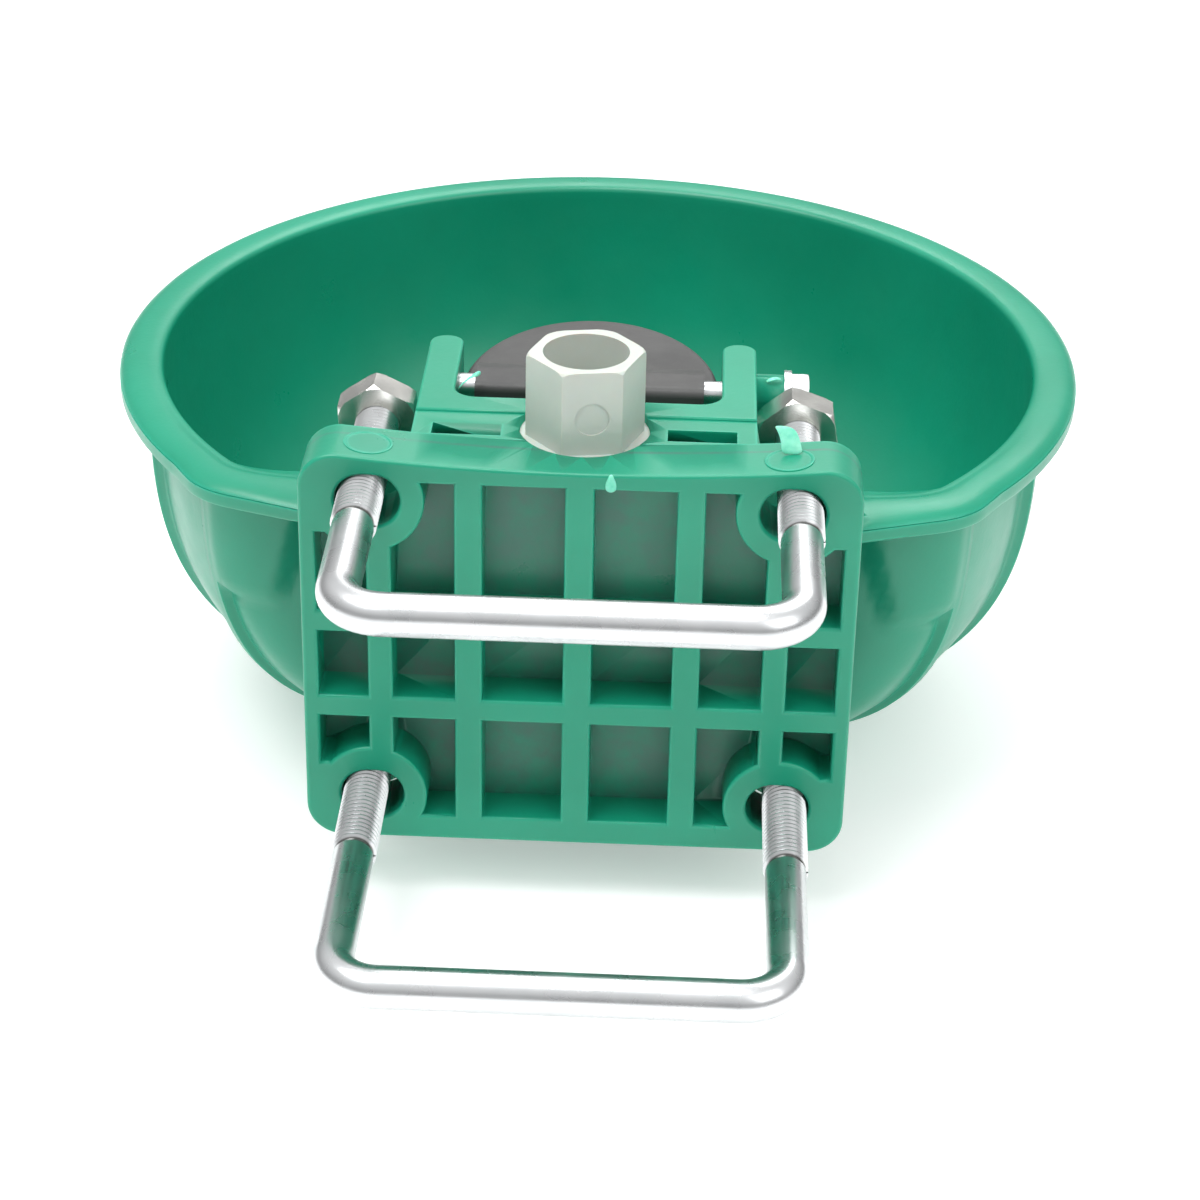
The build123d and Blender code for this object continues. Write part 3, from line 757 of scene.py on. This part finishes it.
def make_u_bolt(place, node):
    low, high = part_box(node)
    leg_x = high.x - 5 * MM
    z = (low.z + high.z) / 2
    bar_y = low.y + shank_radius
    thread_y = thread_start[place]
    rod_thread_len = high.y - thread_y
    bpy.ops.mesh.primitive_circle_add(
        vertices=36, radius=shank_radius, fill_type="NOTHING",
        location=(-leg_x, thread_y, z), rotation=(math.pi / 2, 0, 0),
    )
    obj = bpy.context.object
    rest_in_place(obj)
    bpy.ops.object.mode_set(mode="EDIT")
    bpy.ops.mesh.select_mode(type="VERT")
    bpy.ops.mesh.select_all(action="SELECT")
    straight = bar_y + bend_radius - thread_y
    draw_out((0, straight, 0), 8)
    bpy.ops.mesh.spin(
        steps=14, angle=-math.pi / 2, center=(-leg_x + bend_radius, bar_y + bend_radius, z), axis=(0, 0, 1)
    )
    draw_out((2 * (leg_x - bend_radius), 0, 0), 10)
    bpy.ops.mesh.spin(
        steps=14, angle=-math.pi / 2, center=(leg_x - bend_radius, bar_y + bend_radius, z), axis=(0, 0, 1)
    )
    draw_out((0, -straight, 0), 8)
    bpy.ops.object.mode_set(mode="OBJECT")
    pieces = [outward(obj)]
    for side in (-1, 1):
        pieces.append(
            thread_surface(side * leg_x, z, thread_y, rod_thread_len, rod_pitch, 4.1 * MM, 4.95 * MM)
        )
        bpy.ops.mesh.primitive_cylinder_add(
            vertices=36, radius=4.15 * MM, depth=rod_thread_len + 0.6 * MM,
            location=(side * leg_x, thread_y + rod_thread_len / 2 - 0.3 * MM, z),
            rotation=(math.pi / 2, 0, 0),
        )
        core = rest_in_place(bpy.context.object)
        pick_faces(core, lambda face: abs(face.normal.y) > 0.9)
        bpy.ops.mesh.bevel(offset=0.5 * MM, segments=2, affect="EDGES")
        bpy.ops.object.mode_set(mode="OBJECT")
        pieces.append(core)
    return join(node, pieces)


for place in ("upper", "lower"):
    node = place + "_u_bolt"
    rod = make_u_bolt(place, node)
    finish(rod, place + "_bent_rod", ZINC, "bright_zinc", place + "_clamp", node, angle=30)

# %% [markdown]
# A hexagon nut is a six-sided prism whose corners are turned off by a cone at each end. Two booleans make it,
# as the factory does: turn the corners away, then bore the hole.


# %% Nuts
def make_nut(centre, flats, length, bore, axis_turn, corner_turn):
    nut = cylinder(6, flats / math.sqrt(3), length)
    nut.data.transform(Matrix.Rotation(corner_turn, 4, "Z"))
    turned = cylinder(72, flats / math.sqrt(3), length)
    pick_faces(turned, lambda face: abs(face.normal.z) > 0.9)
    bpy.ops.mesh.bevel(offset=0.85 * MM, segments=1, affect="EDGES")
    bpy.ops.object.mode_set(mode="OBJECT")
    boolean(nut, turned, "INTERSECT")
    boolean(nut, cylinder(48, bore, 3 * length), "DIFFERENCE")
    soften(nut, 0.22 * MM)
    nut.data.transform(Matrix.Translation(centre) @ axis_turn)
    return nut


along_y = Matrix.Rotation(-math.pi / 2, 4, "X")
along_x = Matrix.Rotation(math.pi / 2, 4, "Y")
nut_turn = {"upper_nut_left": 4, "upper_nut_right": 10, "lower_nut_left": 0, "lower_nut_right": 0}
for place in ("upper", "lower"):
    for side in ("left", "right"):
        node = f"{place}_nut_{side}"
        low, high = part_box(node)
        turn = math.radians(-nut_turn[node])
        nut = make_nut((low + high) / 2, 17 * MM, 8 * MM, 5.0 * MM, along_y, turn)
        finish(nut, f"{place}_hexagon_nut_{side}", NUT_ZINC, "yellow_zinc", place + "_clamp", node, angle=28)

# %% [markdown]
# The hinge screw has a hexagon head, so it is made as the nuts are, with a pin instead of a hole. The parts
# inside the valve keep the frame's own meshes, and only need their materials.

# %% Hinge screw and washer
screw_low, screw_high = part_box("hinge_screw")
head_thick = 4.0 * MM
head_corner_radius = 10 * MM / math.sqrt(3)
screw_middle = (screw_low + screw_high) / 2


def make_screw():
    head = cylinder(6, head_corner_radius, head_thick)
    turned = cylinder(64, head_corner_radius, head_thick)
    pick_faces(turned, lambda face: face.normal.z > 0.9)
    bpy.ops.mesh.bevel(offset=0.7 * MM, segments=2, affect="EDGES")
    bpy.ops.object.mode_set(mode="OBJECT")
    boolean(head, turned, "INTERSECT")
    soften(head, 0.2 * MM)
    head_turn = along_x @ Matrix.Rotation(math.radians(30), 4, "Z")
    head.data.transform(
        Matrix.Translation((screw_high.x - head_thick / 2, screw_middle.y, screw_middle.z)) @ head_turn
    )
    length = screw_high.x - head_thick - screw_low.x + 0.2 * MM
    pin = cylinder(48, 3.0 * MM, length)
    pick_faces(pin, lambda face: face.normal.z < -0.9)
    bpy.ops.mesh.bevel(offset=0.4 * MM, segments=2, affect="EDGES")
    bpy.ops.object.mode_set(mode="OBJECT")
    pin_middle = (screw_low.x + length / 2, screw_middle.y, screw_middle.z)
    pin.data.transform(Matrix.Translation(pin_middle) @ along_x)
    return join("screw", [head, pin])


finish(make_screw(), "hinge_screw_hexagon", ZINC, "zinc_steel", "bowl", "hinge_screw", angle=30)
finish(merged_copy("hinge_washer"), "hinge_washer_flat", ZINC, "zinc_steel", "bowl", "hinge_washer")

# %% Parts inside the valve
for node, material in (
    ("inlet_gasket", RUBBER), ("cartridge_gasket", RUBBER), ("stem_seal", RUBBER), ("valve_cartridge", WHITE),
    ("valve_seat", BRASS), ("spring_plug", BRASS), ("valve_stem", BRASS), ("return_spring", STAINLESS),
    ("inlet_strainer", STAINLESS),
):
    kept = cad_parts[node]
    kept.data.materials.clear()
    kept.data.materials.append(material)

# %% [markdown]
# Floor, light and camera. The floor is a pale, softly lit table, so shadows on it stay faint, and large soft
# lights stand round the bowl.

# %% Stage
floor_z = bowl_floor - 0.5 * MM
bpy.ops.mesh.primitive_plane_add(size=30.0, location=(0, 0, floor_z))
floor = bpy.context.object
floor.name = "pale_floor"
floor_material, floor_tree, floor_shader, floor_vector = blank("pale_floor")
uneven = noise_on(floor_tree, floor_vector, 3.0, 2.0)
pale = ramp(floor_tree, uneven, [(0.3, (0.80, 0.80, 0.80)), (0.7, (0.83, 0.83, 0.83))])
floor_tree.links.new(pale, floor_shader.inputs["Base Color"])
floor_shader.inputs["Roughness"].default_value = 0.9
floor_shader.inputs["Emission Color"].default_value = (1, 1, 1, 1)
floor_shader.inputs["Emission Strength"].default_value = 0.36
floor.data.materials.append(floor_material)

world = bpy.data.worlds.new("soft_room")
bpy.context.scene.world = world
world.use_nodes = True
sky = world.node_tree
direction = sky.nodes.new("ShaderNodeTexCoord")
apart = sky.nodes.new("ShaderNodeSeparateXYZ")
sky.links.new(direction.outputs["Generated"], apart.inputs["Vector"])
greys = ((0.0, 0.20), (0.15, 0.34), (0.5, 0.80), (0.9, 1.0))
tone = ramp(sky, apart.outputs["Z"], [(height, (grey, grey, grey)) for height, grey in greys])
sky.links.new(tone, sky.nodes["Background"].inputs["Color"])
sky.nodes["Background"].inputs["Strength"].default_value = 0.95


def soft_light(name, place, target, size, power):
    bpy.ops.object.light_add(type="AREA", location=place)
    lamp = bpy.context.object
    lamp.name = name
    lamp.data.shape = "SQUARE"
    lamp.data.size = size
    lamp.data.energy = power
    lamp.rotation_euler = (Vector(target) - Vector(place)).to_track_quat("-Z", "Y").to_euler()


soft_light("key", (-0.35, -0.15, 1.2), (0, 0.06, 0), 0.8, 13)
soft_light("fill", (0.8, -0.6, 0.8), (0, 0.06, 0), 0.9, 4)
soft_light("back", (0.2, 1.0, 1.1), (0, 0.06, 0), 0.9, 8)

# %% Camera
camera_place = Vector((21.5, -564.9, 328.2)) * MM
pitch, yaw, roll = math.radians(29.0), math.radians(-1.70), math.radians(1.25)
ahead = Vector((math.sin(yaw) * math.cos(pitch), math.cos(yaw) * math.cos(pitch), -math.sin(pitch)))
right = Vector((math.cos(yaw), -math.sin(yaw), 0))
up = right.cross(ahead)
turned_right = math.cos(roll) * right + math.sin(roll) * up
turned_up = math.cos(roll) * up - math.sin(roll) * right
bpy.ops.object.camera_add(location=camera_place)
camera = bpy.context.object
camera.name = "camera"
camera.matrix_world = Matrix.Translation(camera_place) @ Matrix(
    (turned_right, turned_up, -ahead)
).transposed().to_4x4()
camera.data.sensor_width = 36
camera.data.lens = 90.2
camera.data.clip_start = 0.01
bpy.context.scene.camera = camera
bpy.context.scene.view_settings.view_transform = "Standard"

# %% [markdown]
# Last, the view layer is brought up to date.

# %% Finish
bpy.context.view_layer.update()
